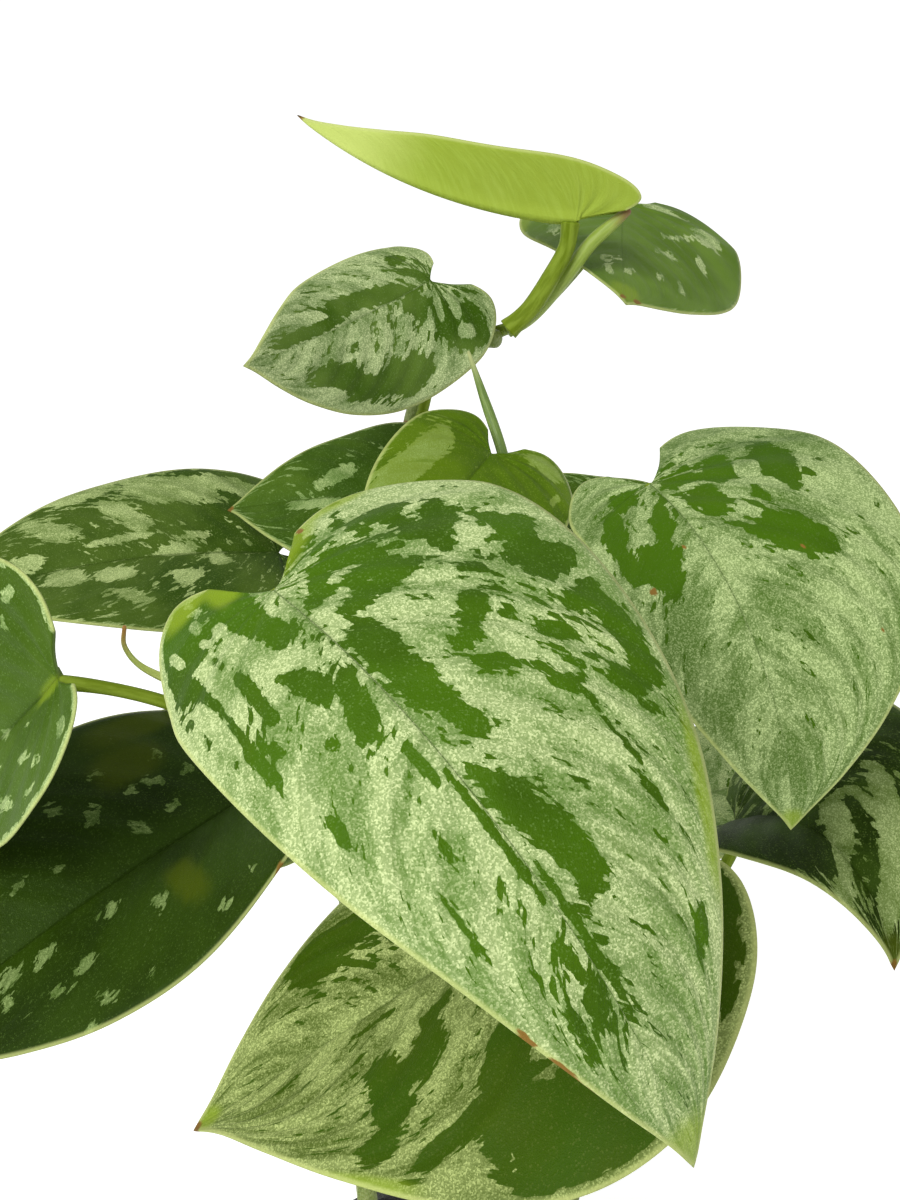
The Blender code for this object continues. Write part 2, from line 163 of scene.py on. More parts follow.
def placed(name, data, location=(0, 0, 0)):
    thing = bpy.data.objects.new(name, data)
    thing.location = location
    bpy.context.scene.collection.objects.link(thing)
    return thing


def piece(name, points, faces, material, slot, *nodes):
    """A smooth piece that rides on the plant and stands for the given nodes."""
    body = placed(name, meshed(name, points, faces))
    body.data.materials.append(material)
    body.data.shade_smooth()
    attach(body, "root")
    if nodes:
        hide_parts(*nodes)
    return body


def circle(radius, height, sides):
    angles = [2 * pi * k / sides for k in range(sides)]
    return [(radius * cos(angle), radius * sin(angle), height) for angle in angles]


def shifted(faces, start):
    """The same faces, for points that come later in the list."""
    return [tuple(v + start for v in face) for face in faces]


def joined(rows):
    """The faces between each ring of points and the next, where they don't fall together."""
    faces = []
    for lower, upper in zip(rows, rows[1:]):
        for k in range(-1, len(lower) - 1):
            loop = dict.fromkeys((lower[k], lower[k + 1], upper[k + 1], upper[k]))
            if len(loop) > 2:
                faces.append(tuple(loop))
    return faces


def turned(profile, sides):
    """Points and faces of a shape turned about the pot's axis; radius 0 closes it."""
    points, rows = [], []
    for radius, height in profile:
        ring = circle(radius, height, sides if radius else 1)
        rows.append([len(points) + k % len(ring) for k in range(sides)])
        points += ring
    return points, joined(rows)


def pot_plastic():
    """Matt dark plastic: a fine moulded grain, faint rings, rubbed paler at the rim, with dried
    splashes of lime and soil under it."""
    finish = Finish("pot_plastic", 0.5, 0.45)
    place = finish.read("place")
    grain = noise(place, 2.2, 4, 0.6)
    rings = noise(place, (0.02, 0.02, 1.6))
    dust = noise(place, (0.09, 0.09, 0.05), 5, 0.65)
    worn = ease(finish.read("height"), pot_height - rim_depth, pot_height)
    dusty = times(ease(dust, 0.45, 0.8), 0.28)
    base = blend(grain, (40, 41, 43), (58, 59, 61))
    base = blend(dusty, base, (112, 106, 96))
    base = blend(times(worn, ease(grain, 0.4, 0.7)), base, (92, 92, 93))
    finish.give("Roughness", ease(add(grain, dusty), 0.3, 1.1, 0.42, 0.72))
    finish.bump(add(grain, times(rings, 0.7)), 0.00006)
    return finish.colour(base)


def wall(height):
    """The radius of the pot's outside."""
    return wall_base + (wall_top - wall_base) * height / pot_height


def drill(body):
    """Cut the drainage holes, with plugs that reach past both sides of the floor."""
    ends = -plug_spare, floor_thick + plug_spare
    plug, sides = turned([(0, ends[0]), (drain_radius, ends[0]), (drain_radius, ends[1]), (0, ends[1])], 32)
    points, faces = [], []
    for k in range(drain_count):
        angle = 2 * pi * k / drain_count + drain_turn
        faces += shifted(sides, len(points))
        points += [(x + drain_circle * cos(angle), y + drain_circle * sin(angle), z) for x, y, z in plug]
    plugs = placed("plugs", meshed("plugs", points, faces))
    modifier = body.modifiers.new("drill", "BOOLEAN")
    modifier.object = plugs
    modifier.solver = "MANIFOLD"
    with bpy.context.temp_override(object=body, active_object=body, selected_objects=[body]):
        bpy.ops.object.modifier_apply(modifier=modifier.name)
    bpy.data.objects.remove(plugs, do_unlink=True)


def make_pot():
    rim_low, inside = pot_height - rim_depth, wall_top - wall_thick
    profile = [(0, 0), (wall_base - 6, 0), (wall_base - 1.2, 0), (wall_base - 0.35, 0.35), (wall_base, 1.2)]
    for k, height in enumerate(np.linspace(2.0, rim_low, 60)):
        ribbed = k % 4 in (1, 2) and 0.75 < height / rim_low < 0.9
        profile.append((wall(height) + rib_rise * ribbed, height))
    profile += [(rim_radius - 0.9, rim_low + 0.1), (rim_radius - 0.25, rim_low + 0.4),
                (rim_radius, rim_low + 1.2), (rim_radius, pot_height - 2.0)]
    profile += [(rim_radius - rim_round + rim_round * cos(a), pot_height - rim_round + rim_round * sin(a))
                for a in np.linspace(0.2, pi / 2, 6)]
    profile += [(inside + 0.9, pot_height), (inside + 0.2, pot_height - 0.35), (inside, pot_height - 1.2)]
    profile += [(wall(z) - wall_thick, z) for z in np.linspace(pot_height - 4, floor_thick + 2, 24)]
    profile += [(wall(floor_thick) - wall_thick - 2, floor_thick), (0, floor_thick)]
    pot = piece("pot_shell", *turned(profile, 144), pot_plastic(), "pot_plastic", "pot")
    drill(pot)
    pot.data.set_sharp_from_angle(angle=radians(50))
    return pot


def note(body, name, values):
    """Keep a number or a vector for each point of a mesh, for its finish to read."""
    values = np.asarray(values, np.float32)
    kind, key = ("FLOAT", "value") if values.ndim == 1 else ("FLOAT_VECTOR", "vector")
    body.data.attributes.new(name, kind, "POINT").data.foreach_set(key, values.ravel())


def corners(body):
    """A mesh's points in millimetres."""
    flat = np.zeros(len(body.data.vertices) * 3)
    body.data.vertices.foreach_get("co", flat)
    return flat.reshape(-1, 3) / MM


pot = make_pot()
note(pot, "place", corners(pot))
note(pot, "height", corners(pot)[:, 2])


# The soil: peaty potting mix with bark chips and white perlite, poured in and firmed by hand to
# 12 mm under the rim.
soil_low, soil_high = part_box("soil")
soil_level, soil_gap = 93.0, 0.6
soil_radius = wall(soil_level) - wall_thick - soil_gap


def cells(place, factors, random=1.0, distance="EUCLIDEAN", shift=(0, 0, 0)):
    """Grains or blocks that fill the surface, as many of them to a unit as the factors say."""
    node = wired("TexVoronoi", scaled(place, factors, shift), distance=distance)
    node.inputs["Scale"].default_value = 1.0
    node.inputs["Randomness"].default_value = random
    return node


def chance(cell):
    """A number drawn for each cell."""
    return wired("SeparateColor", cell.outputs["Color"]).outputs[0]


def soil_mix():
    """Crumbly dark mix: fibres and crumbs, damp hollows darker than the dry crests."""
    finish = Finish("potting_mix", 0.92, 0.25)
    place = finish.read("place")
    crumbs = cells(place, 0.75)
    fine = noise(place, 1.6, 6, 0.7)
    fibre = noise(place, (0.35, 2.6, 1.4), 3, 0.6)
    damp = noise(place, 0.06, 3)
    base = blend(fine, (38, 28, 20), (88, 66, 46))
    base = blend(ease(chance(crumbs), 0.55, 1.0, 0.0, 0.6), base, (106, 82, 58))
    base = blend(ease(fibre, 0.62, 0.75, 0.0, 0.7), base, (134, 104, 70))
    base = blend(ease(damp, 0.4, 0.65, 0.0, 0.55), base, (30, 23, 17))
    finish.bump(add(times(crumbs.outputs["Distance"], -0.6), fine), 0.0012)
    return finish.colour(base)


def lumps(x, y):
    """Height of the soil's crumbs over its level, as a sum of a few waves, in millimetres."""
    coarse = sin(0.31 * x + 1.3) * cos(0.27 * y) + 0.6 * sin(0.73 * x - 0.52 * y)
    coarse += 0.4 * cos(0.9 * y + 0.4 * x)
    fine = sin(2.1 * x + 0.7 * y) * cos(1.9 * y - 0.6 * x) + 0.7 * sin(3.7 * y + 1.1 * x + 2) * cos(3.1 * x)
    return 0.5 * coarse + 0.28 * fine


def make_soil():
    """A lumpy top, calmer at the pot's wall, on a plain body that fits the pot."""
    rings, steps, sides = 46, 3, 150
    profile = [(soil_radius * i / rings, soil_level) for i in range(rings + 1)]
    for step in range(1, steps + 1):
        height = soil_level - 1 - (soil_level - soil_low.z / MM - 1) * step / steps
        profile.append((min(soil_radius, wall(height) - wall_thick - soil_gap), height))
    level, faces = turned(profile, sides)
    points = []
    for x, y, z in level:
        if z == soil_level:
            calm = min(1.0, (soil_radius - np.hypot(x, y)) / 6 + 0.3)
            z = min(z + calm * lumps(x, y), soil_high.z / MM)
        points.append((x, y, z))
    faces = [(face[0], *face[:0:-1]) for face in faces]
    faces.append(tuple(range(len(points) - 1, len(points) - 1 - sides, -1)))
    soil = piece("potting_soil", points, faces, soil_mix(), "potting_mix", "soil")
    note(soil, "place", points)


make_soil()


def scattered(name, count, sizes, stretch, material, seed):
    """Loose bits half sunk in the soil: rough rounded stones or chips, spread at random."""
    draw = np.random.default_rng(seed)
    points, faces = [], []
    ball = bmesh.new()
    bmesh.ops.create_icosphere(ball, subdivisions=2, radius=1.0)
    shape = np.array([v.co[:] for v in ball.verts])
    sides = [tuple(v.index for v in f.verts) for f in ball.faces]
    ball.free()
    for _ in range(count):
        reach = (soil_radius - 4) * np.sqrt(draw.random())
        turn = 2 * pi * draw.random()
        x, y = reach * cos(turn), reach * sin(turn)
        size = draw.uniform(*sizes)
        bumps = 1 + 0.28 * np.sin(shape @ draw.normal(size=3) * 3.1 + draw.random() * 6)
        lump = shape * bumps[:, None] * size * np.array(stretch)
        spin = draw.random() * pi
        tilt = draw.normal() * 0.35
        level, rise = lump[:, 0] * cos(tilt), lump[:, 0] * sin(tilt) + lump[:, 2]
        lump = np.stack([level * cos(spin) - lump[:, 1] * sin(spin),
                         level * sin(spin) + lump[:, 1] * cos(spin), rise], 1)
        lump += (x, y, soil_level + lumps(x, y) * 0.8 + size * stretch[2] * 0.25)
        faces += shifted(sides, len(points))
        points += lump.tolist()
    bits = piece(name, points, faces, material, "potting_mix")
    note(bits, "place", corners(bits))


def bark_chip():
    """Brown bark: long pale fibres and darker patches."""
    finish = Finish("bark_chip", 0.85, 0.3)
    place = finish.read("place")
    grain = noise(place, (0.5, 2.8, 2.0), 5, 0.65)
    patch = noise(place, 0.12)
    base = blend(grain, (58, 38, 25), (142, 101, 66))
    finish.bump(grain, 0.0007)
    return finish.colour(blend(ease(patch, 0.4, 0.6, 0.0, 0.6), base, (72, 44, 30)))


def perlite():
    """White popped glass: small pores, dirty in places."""
    finish = Finish("perlite", 0.8, 0.3)
    place = finish.read("place")
    dirt = noise(place, 0.5, 4, 0.6)
    finish.bump(cells(place, 2.4).outputs["Distance"], 0.0006)
    return finish.colour(blend(ease(dirt, 0.45, 0.7, 0.0, 0.7), (226, 222, 210), (150, 130, 104)))


scattered("bark_chips", 150, (1.1, 2.7), (1.3, 0.75, 0.42), bark_chip(), 4)
scattered("perlite_grains", 110, (0.6, 1.5), (1.0, 0.9, 0.8), perlite(), 9)


# The vines: four smooth green climbing stems, thinner than a pencil, rooted in the soil, with a
# swollen ring and a corky scar at each node where a petiole leaves.
vine_radius = 2.3
node_swell, swell_reach = 0.7, 3.2
scar_depth, scar_offset, scar_width = 0.18, 3.6, 0.7
cork_offset, cork_width = 3.4, 0.8
vines = {
    "stem_left": [(-20, -2, 71), (-20, -2, 94), (-20, -1, 116), (-24, 8, 190), (-25, 20, 250),
                  (-22, 27, 300)],
    "stem_right": [(20, 4, 71), (20, 4, 94), (20, 5, 116), (27, 16, 190), (30, 29, 250), (29, 38, 296)],
    "stem_middle": [(2, 28, 71), (2, 28, 94), (2, 29, 116), (5, 46, 190), (9, 65, 250), (9, 76, 290)],
    "stem_back": [(-10, 14, 71), (-10, 14, 94), (-10, 16, 116), (-10, 50, 180), (-12, 96, 250),
                  (-14, 126, 296), (-13, 132, 312), (-6, 135, 323), (2, 131, 331), (8.4, 126.3, 333)],
}
nodes_at = {
    "stem_left": [110, 122, 258, 272, 286],
    "stem_right": [112, 190, 218, 244, 278],
    "stem_middle": [118, 164, 224, 268, 286],
    "stem_back": [186, 216, 232, 246, 268, 305, 331],
}


def vec(*xyz):
    return np.array(xyz, float)


def unit(v):
    return v / norm(v)


def catmull(points, count):
    """Smooth curve through the points, read at evenly spaced parameters."""
    p = np.array(points, float)
    p = np.vstack([2 * p[0] - p[1], p, 2 * p[-1] - p[-2]])
    spans = len(p) - 3
    t = np.linspace(0, spans, count)
    i = np.minimum(t.astype(int), spans - 1)
    f = (t - i)[:, None]
    a, b, c, d = p[i], p[i + 1], p[i + 2], p[i + 3]
    curve = 2 * b + (c - a) * f + (2 * a - 5 * b + 4 * c - d) * f ** 2
    return 0.5 * (curve + (3 * b - a - 3 * c + d) * f ** 3)


def gaps(points):
    """How far each point of a line is from the next."""
    return norm(np.diff(points, axis=0), axis=1)


def even(points, count, bends=0.0):
    """The same curve, read at even distances, or more closely where it bends."""
    steps = gaps(points)
    ways = np.diff(points, axis=0) / steps[:, None]
    turns = np.arccos(np.clip(np.sum(ways[1:] * ways[:-1], axis=1), -1, 1))
    steps = steps / steps.sum() + bends * np.r_[0, turns] / max(turns.sum(), 1e-6)
    run = np.r_[0, np.cumsum(steps)]
    at = np.linspace(0, run[-1], count)
    return np.stack([np.interp(at, run, points[:, k]) for k in range(points.shape[1])], 1)


def rod(points, radii, sides):
    """Closed tube along a line, round at its far end: its points and faces, and how far along each
    point is and its angle."""
    points, radii = np.asarray(points, float), np.asarray(radii, float)
    tangents = np.gradient(points, axis=0)
    tangents /= norm(tangents, axis=1)[:, None]
    caps = np.linspace(0, pi / 2, 6)[1:-1]
    reach = min(norm(points[-1] - points[-2]) * 0.9, radii[-1])
    extra = [points[-1] + tangents[-1] * reach * (sin(c) - 1) for c in caps]
    points = np.vstack([points[:-1], points[-1] - tangents[-1] * reach, extra])
    radii = np.r_[radii, [radii[-1] * cos(c) for c in caps]]
    tangents = np.vstack([tangents, [tangents[-1]] * len(caps)])
    across = unit(np.cross(tangents[0], vec(0.31, 0.77, 0.2)))
    run = np.r_[0, np.cumsum(gaps(points))]
    angles = 2 * pi * np.arange(sides) / sides
    rings = []
    for point, tangent, radius in zip(points, tangents, radii):
        across = unit(across - tangent * np.dot(across, tangent))
        up = np.cross(tangent, across)
        rings += [point + radius * (cos(angle) * across + sin(angle) * up) for angle in angles]
    rows = [range(i * sides, (i + 1) * sides) for i in range(len(points))]
    faces = joined(rows) + [tuple(reversed(rows[0])), tuple(rows[-1])]
    return np.array(rings), faces, np.repeat(run, sides), np.tile(angles, len(points))


def stem_skin(name, green, old):
    """Smooth green skin with long pale streaks, fine warts, and brown cork at the nodes."""
    finish = Finish(name, 0.45, 0.45)
    place = finish.read("place")
    cork = finish.read("cork")
    streaks = noise(place, (2.0, 2.0, 0.12), 4, 0.6)
    warts = cells(place, (1.3, 1.3, 0.9)).outputs["Distance"]
    base = blend(ease(streaks, 0.3, 0.7), green, old)
    base = blend(ease(warts, 0.22, 0.1, 0.0, 0.5), base, (176, 182, 120))
    base = blend(ease(add(cork, times(streaks, 0.6)), 0.75, 1.05), base, (122, 92, 48))
    finish.give("Roughness", ease(cork, 0.2, 0.9, 0.42, 0.8))
    finish.bump(add(streaks, warts), 0.00025)
    return finish.colour(base)


vine_skin = stem_skin("vine_skin", (108, 128, 52), (138, 150, 84))


def hump(offset, width):
    """1 in the middle, falling off to both sides."""
    return np.exp(-(offset / width) ** 2)


def make_vine(name):
    line = even(catmull(vines[name], 60), 190)
    height = line[:, 2]
    spacing = norm(line[1] - line[0])
    radii = np.full(len(line), vine_radius)
    cork = np.zeros(len(line))
    for level in nodes_at[name]:
        gap = (np.arange(len(line)) - np.argmin(np.abs(height - level))) * spacing
        radii += node_swell * hump(gap, swell_reach)
        radii -= scar_depth * hump(gap - scar_offset, scar_width)
        cork = np.maximum(cork, hump(gap - cork_offset, cork_width))
    radii = np.minimum(radii, vine_radius + node_swell)
    cork = np.maximum(cork, np.clip((soil_level + 6 - height) / 8, 0, 1))
    points, faces, along, _ = rod(line, radii, 28)
    vine = piece(name + "_vine", points, faces, vine_skin, "vine_stem", name)
    note(vine, "place", points)
    note(vine, "cork", np.interp(along, np.linspace(0, along.max(), len(cork)), cork))


for vine_name in vines:
    make_vine(vine_name)


# The leaves: one thick heart-shaped blade each, satin on top, silver between the veins, paler and
# dull underneath, on a smooth round petiole that grew out of its vine and holds it at the notch.
blade_thickness, midrib_depth, midrib_half_width = 0.8, 0.9, 1.6
crease_depth, crease_half_width = 0.3, 0.7
quilt_rise, quilt_pitch = 0.26, 7.5
droop_growth = 1.2
petiole_rise, petiole_sweep = 48, 0.36
half_edge = [(0.0, 0.0), (-0.35, 0.07), (-0.80, 0.24), (-1.0, 0.47), (-0.72, 0.72), (0.0, 0.93),
             (0.17, 1.0), (0.36, 0.96), (0.55, 0.80), (0.72, 0.54), (0.85, 0.29), (0.94, 0.10), (1.0, 0.0)]
edge_start = 2
joint_share = 0.30


def leaf(name, base, aim, size, droop, vine, height, **own):
    """One leaf. base: where the petiole meets the blade. aim: heading, pitch and roll of the
    midrib there, degrees. size: length and the two half widths. droop: the bend towards the tip.
    vine and height: where the petiole leaves its vine. The rest is its own habit and colours."""
    habit = dict(fold=(15, 15), lobes=(12, 12), full=(1.0, 1.0), curl=-22, sway=0, twist=0, wave=0.8,
                 stalk=1.6, leave=None, via=None, look="flecked")
    return dict(habit, name=name, base=np.array(base, float), aim=aim, length=size[0], left=size[1],
                right=size[2], droop=droop, vine=vine, height=height, **own)


leaves = [
    leaf("leaf_front", (-27.5, -33, 351.5), (-57, 6, 14), (101, 38, 23.5), 95, "stem_left", 286,
         fold=(8, -13), lobes=(13, 16), full=(1.1, 1.3), curl=-24, sway=2.6, twist=-16, stalk=1.9,
         look="silvered"),
    leaf("leaf_right", (34, 39.5, 333.5), (-72, 4, 6), (77.5, 36.5, 18.5), 95, "stem_right", 278,
         fold=(7, -16), lobes=(17, 14), full=(0.8, 0.7), curl=-8, stalk=1.8, look="silvered",
         silver=(180, 198, 136), dull=(80, 108, 42), cover=0.95),
    leaf("leaf_under", (19.5, -28.5, 301), (-165, -34, 0), (79.5, 47.5, 33), -4, "stem_right", 244,
         lobes=(16.5, 13), full=(1.1, 1.0), curl=-34, stalk=1.8, look="silvered", silver=(174, 188, 116),
         dull=(80, 98, 34), green=(54, 78, 0), cover=0.9),
    # its dark look is partly its own deep green and partly painted shade from the leaves over it
    leaf("leaf_low_left", (-46.5, 25.5, 269), (-143, -11, 10), (84, 39, 39.5), 12, "stem_left", 258,
         fold=(23, 20), lobes=(7, 12), curl=-14, twist=-40, leave=(1.0, 0.1, 0.1), look="dark"),
    leaf("leaf_left", (-73.8, 9, 309.7), (158, -48, -52), (67, 24.2, 28.5), -6, "stem_left", 272,
         fold=(23, 27), lobes=(10, 8.5), curl=-15, stalk=1.5, leave=(1.0, 0.1, -0.15), cover=-1.5, band=1.0,
         green=(70, 98, 22), deep=(56, 84, 4), silver=(176, 196, 132)),
    leaf("leaf_far_left", (-47.5, 105, 284), (-158, 13, -13), (87.5, 31, 31.5), 31, "stem_back", 246,
         fold=(16, 16), lobes=(13, 13), green=(70, 94, 26), deep=(44, 70, 4), silver=(184, 200, 134),
         dull=(100, 122, 58), cover=-0.8),
    leaf("leaf_mid_left", (-10, 98.5, 304), (175.5, -4, -25), (50, 24.5, 22), 11, "stem_back", 268,
         fold=(12, 13.5), lobes=(12.5, 12.5), curl=-21, twist=4, stalk=1.3, cover=-0.9),
    leaf("leaf_young", (5, 79, 322.5), (-110, 1, -27), (60, 23, 18.5), 32, "stem_middle", 286, fold=(12, 13),
         lobes=(12, 10), full=(1.0, 0.9), curl=-26, sway=-2, stalk=1.4, look="young"),
    leaf("leaf_top_left", (-8.7, 124, 348), (-134, -10, -35.5), (63, 24, 16), -20, "stem_back", 305,
         fold=(-1, 2), lobes=(12, 6), full=(0.9, 1.0), curl=-30, sway=2, twist=-30, stalk=1.5,
         look="silvered", silver=(192, 206, 150), dull=(100, 124, 66), green=(86, 112, 40), cover=0.75,
         band=0.5),
    leaf("leaf_folded", (26.6, 135.4, 359.8), (180, 5.5, 33), (73, 15, 18), -34, "stem_back", 333,
         fold=(58, 63), lobes=(15, 14), curl=-9, wave=0.4, stalk=2.5, look="new",
         via=[(10.3, 126.4, 335.3), (15.7, 127.8, 340), (20.9, 131.9, 347), (24.5, 134.5, 353.3)]),
    leaf("leaf_top_right", (47.5, 204, 347.5), (-99, -1, -5), (81, 38.5, 29.5), 5, "stem_back", 331,
         fold=(-8, -2), lobes=(16.5, 15), full=(0.9, 1.0), curl=-18, sway=6, twist=-17, stalk=1.5,
         green=(100, 130, 40), deep=(82, 112, 18), silver=(194, 210, 148), cover=-1.3,
         via=[(7.5, 132.6, 332.4), (17, 147, 332), (32, 178, 336)]),
    leaf("leaf_low_right", (58, 35, 255), (-54, 49, -5), (58.5, 37.5, 19.5), 94, "stem_right", 218,
         fold=(44, 7), lobes=(10, 10), full=(1.1, 1.2), curl=-25, sway=-21, twist=-4, look="dark",
         silver=(176, 192, 130), dull=(96, 118, 52), green=(62, 88, 16), cover=-0.5),
    leaf("leaf_back_right", (46, 86, 299), (163, 14, -8), (44, 18, 16), 16, "stem_middle", 268, stalk=1.3),
    leaf("leaf_rear_left", (-26, 130, 258), (118, -4, 8), (74, 28, 28), 38, "stem_back", 232),
    leaf("leaf_rear_middle", (2, 132, 254), (86, -6, -6), (76, 29, 27), 42, "stem_back", 216,
         look="silvered"),
    leaf("leaf_rear_right", (34, 106, 250), (36, -6, 5), (74, 27, 27), 40, "stem_middle", 224),
    leaf("leaf_rear_low", (6, 92, 200), (96, -16, 4), (68, 27, 26), 36, "stem_middle", 164, look="silvered"),
    leaf("leaf_side_right", (50, 62, 238), (26, 2, 6), (62, 23, 22), 30, "stem_right", 190, look="silvered"),
    leaf("leaf_side_left", (-46, 64, 232), (160, -2, -6), (62, 22, 22), 30, "stem_back", 186),
    leaf("leaf_rim_front", (-4, -34, 150), (-95, -2, 3), (72, 28, 27), 70, "stem_left", 122,
         look="silvered"),
    leaf("leaf_rim_left", (-40, -4, 138), (-174, -2, -4), (70, 26, 24), 46, "stem_left", 110),
    leaf("leaf_rim_right", (44, -2, 138), (-4, -2, 4), (70, 25, 26), 46, "stem_right", 112, look="dark"),
    leaf("leaf_rim_back", (2, 50, 150), (92, -6, 2), (68, 26, 26), 58, "stem_middle", 118),
]


def leaf_axes(lf):
    """Midrib direction, the blade's left side and its upper face at the petiole."""
    heading, pitch, roll = (radians(v) for v in lf["aim"])
    along = vec(cos(pitch) * cos(heading), cos(pitch) * sin(heading), sin(pitch))
    side = vec(-sin(heading), cos(heading), 0)
    left = cos(roll) * side + sin(roll) * np.cross(along, side)
    return along, left, np.cross(along, left)


def bend_blade(lf, x, y):
    """Carry points of the flat blade (x along the midrib, y to the left) to their place."""
    along, left, up = leaf_axes(lf)
    length, droop = lf["length"], radians(lf["droop"])
    s = np.linspace(0, 1, 61)
    step = length / 60

    def walk(values):
        return np.r_[0, np.cumsum((values[1:] + values[:-1]) / 2)] * step

    share = x / length
    inside = np.clip(share, 0, 1)
    rib_x = np.interp(inside, s, walk(np.cos(droop * s ** droop_growth))) + np.minimum(share, 0) * length
    rib_z = -np.interp(inside, s, walk(np.sin(droop * s ** droop_growth)))
    rib_y = np.interp(inside, s, walk(np.sin(radians(lf["sway"]) * s)))
    angle = droop * inside ** droop_growth
    width = np.where(y > 0, lf["left"], lf["right"])
    fold = np.radians(np.where(y > 0, lf["fold"][0], lf["fold"][1]))
    out = np.abs(y)
    bow = np.radians(lf["curl"]) / width
    across = (np.sin(fold + bow * out) - np.sin(fold)) / bow
    rise = (np.cos(fold) - np.cos(fold + bow * out)) / bow
    rise = rise + lf["wave"] * (out / width) ** 2 * np.sin(2 * pi * 1.6 * share + (y > 0) * 1.3)
    turn = np.radians(lf["twist"]) * inside
    across = np.sign(y) * across
    sideways = rib_y + across * np.cos(turn) - rise * np.sin(turn)
    lift = across * np.sin(turn) + rise * np.cos(turn)
    forward = rib_x + lift * np.sin(angle)
    height = rib_z + lift * np.cos(angle)
    return lf["base"] + forward[..., None] * along + sideways[..., None] * left + height[..., None] * up


def half_margin(lf, side, count):
    """The edge of one half, from the end of the notch to the tip, as flat points."""
    width = lf["left"] if side > 0 else lf["right"]
    lobe, full = (lf["lobes"][0], lf["full"][0]) if side > 0 else (lf["lobes"][1], lf["full"][1])
    edge = [(x * lobe if x <= 0 else x ** full * lf["length"], side * y * width) for x, y in half_edge]
    smooth = catmull(edge, 20 * (len(edge) - 1) + 1)
    return even(smooth[20 * edge_start:], count, bends=0.8)


def vein_shares(lf, rows):
    """How far round the edge each side vein ends, the same for both halves."""
    total = np.zeros(rows + 1)
    for side in (1, -1):
        steps = gaps(half_margin(lf, side, rows + 1))
        total += np.r_[0, np.cumsum(steps)] / steps.sum()
    return total / 2


def blade_grid(lf, side, rows, columns):
    """Flat points of one half: a row for each fan line from the midrib, a column for each step out."""
    margin = half_margin(lf, side, rows + 1)
    share = vein_shares(lf, rows)
    origin = np.clip((share - joint_share) / (1 - joint_share), 0, 1) ** 1.1 * lf["length"]
    t = np.linspace(0, 1, columns + 1) ** 1.3
    x = origin[:, None] + (margin[:, :1] - origin[:, None]) * t ** 1.3
    return x, margin[:, 1:] * t ** 0.95


def blade_surface(lf, rows, columns):
    """Both halves as one sheet: flat points and faces, with the joint and the midrib shared."""
    flat, faces, index = [], [], {}
    for side in (1, -1):
        x, y = blade_grid(lf, side, rows, columns)
        ids = np.zeros(x.shape, int)
        for i in range(rows + 1):
            for j in range(columns + 1):
                key = (round(x[i, j], 3), round(y[i, j], 3))
                if key not in index:
                    index[key] = len(flat)
                    flat.append((x[i, j], y[i, j]))
                ids[i, j] = index[key]
        for i in range(rows):
            for j in range(columns):
                loop = tuple(dict.fromkeys((ids[i, j], ids[i + 1, j], ids[i + 1, j + 1], ids[i, j + 1])))
                if len(loop) > 2:
                    faces.append(loop if side > 0 else loop[::-1])
    return np.array(flat), faces


def margin_gap(lf, flat):
    """Distance from each flat point to the blade's edge."""
    edge = np.vstack([half_margin(lf, 1, 160), half_margin(lf, -1, 160)[::-1]])
    gap = np.full(len(flat), 99.0)
    for a, b in zip(edge, edge[1:]):
        run = b - a
        length = max(run @ run, 1e-9)
        t = np.clip(((flat - a) @ run) / length, 0, 1)
        gap = np.minimum(gap, norm(flat - a - t[:, None] * run, axis=1))
    return gap


def petiole_line(lf, count):
    """From inside the vine's skin, out and up, to the underside of the blade at its joint."""
    along, _, up = leaf_axes(lf)
    end = lf["base"] + along * 1.2 - up * 0.2
    if lf["via"]:
        return even(catmull([*lf["via"], end], 60), count)
    line = catmull(vines[lf["vine"]], 60)
    node = line[np.argmin(np.abs(line[:, 2] - lf["height"]))]
    away = end - node
    level = unit(vec(away[0], away[1], 0.0)) if np.hypot(away[0], away[1]) > 1 else vec(1, 0, 0)
    rise = radians(petiole_rise)
    start = node + level * 0.8
    leaving = level * cos(rise) + vec(0, 0, sin(rise))
    back = unit(vec(*lf["leave"])) if lf["leave"] else unit(-0.75 * up - 0.65 * along)
    reach = norm(end - start)
    early, late = start + leaving * reach * petiole_sweep, end + back * reach * petiole_sweep
    t = np.linspace(0, 1, count)[:, None]
    near = (1 - t) ** 3 * start + 3 * t * (1 - t) ** 2 * early
    return near + 3 * t ** 2 * (1 - t) * late + t ** 3 * end


# how each kind of leaf is coloured: green and deep where it is green, silver and dull
# where it is silver, under for its lower face, stain for yellowed places. cover is how far silver
# wins over green, wild how much its patches wander on their own, band how far it keeps to the edge
looks = {
    "silvered": dict(green=(62, 98, 0), deep=(50, 80, 0), silver=(198, 212, 152), dull=(96, 126, 56),
                     cover=0.9, wild=0.9, band=1.0, under=(140, 160, 104), stain=(132, 156, 34)),
    "flecked": dict(green=(70, 98, 20), deep=(50, 78, 6), silver=(164, 184, 120), dull=(96, 124, 58),
                    cover=-0.4, wild=1.6, band=0.35, under=(132, 152, 96), stain=(126, 150, 30)),
    # dark: partly the low leaves' own deep green, partly painted shade for the shade they hang in under the
    # leaves above
    "dark": dict(green=(40, 62, 2), deep=(28, 46, 0), silver=(138, 158, 96), dull=(72, 96, 36),
                 cover=-1.3, wild=0.9, band=0.15, under=(112, 132, 80), stain=(72, 86, 2)),
    "young": dict(green=(88, 118, 6), deep=(68, 98, 0), silver=(140, 164, 84), dull=(116, 140, 46),
                  cover=-0.7, wild=1.8, band=0.2, under=(140, 164, 76), stain=(150, 170, 50)),
    "new": dict(green=(140, 160, 44), deep=(120, 142, 18), silver=(180, 198, 100), dull=(158, 180, 72),
                cover=-1.6, wild=0.3, band=0.0, under=(146, 166, 56), stain=(200, 214, 120)),
}

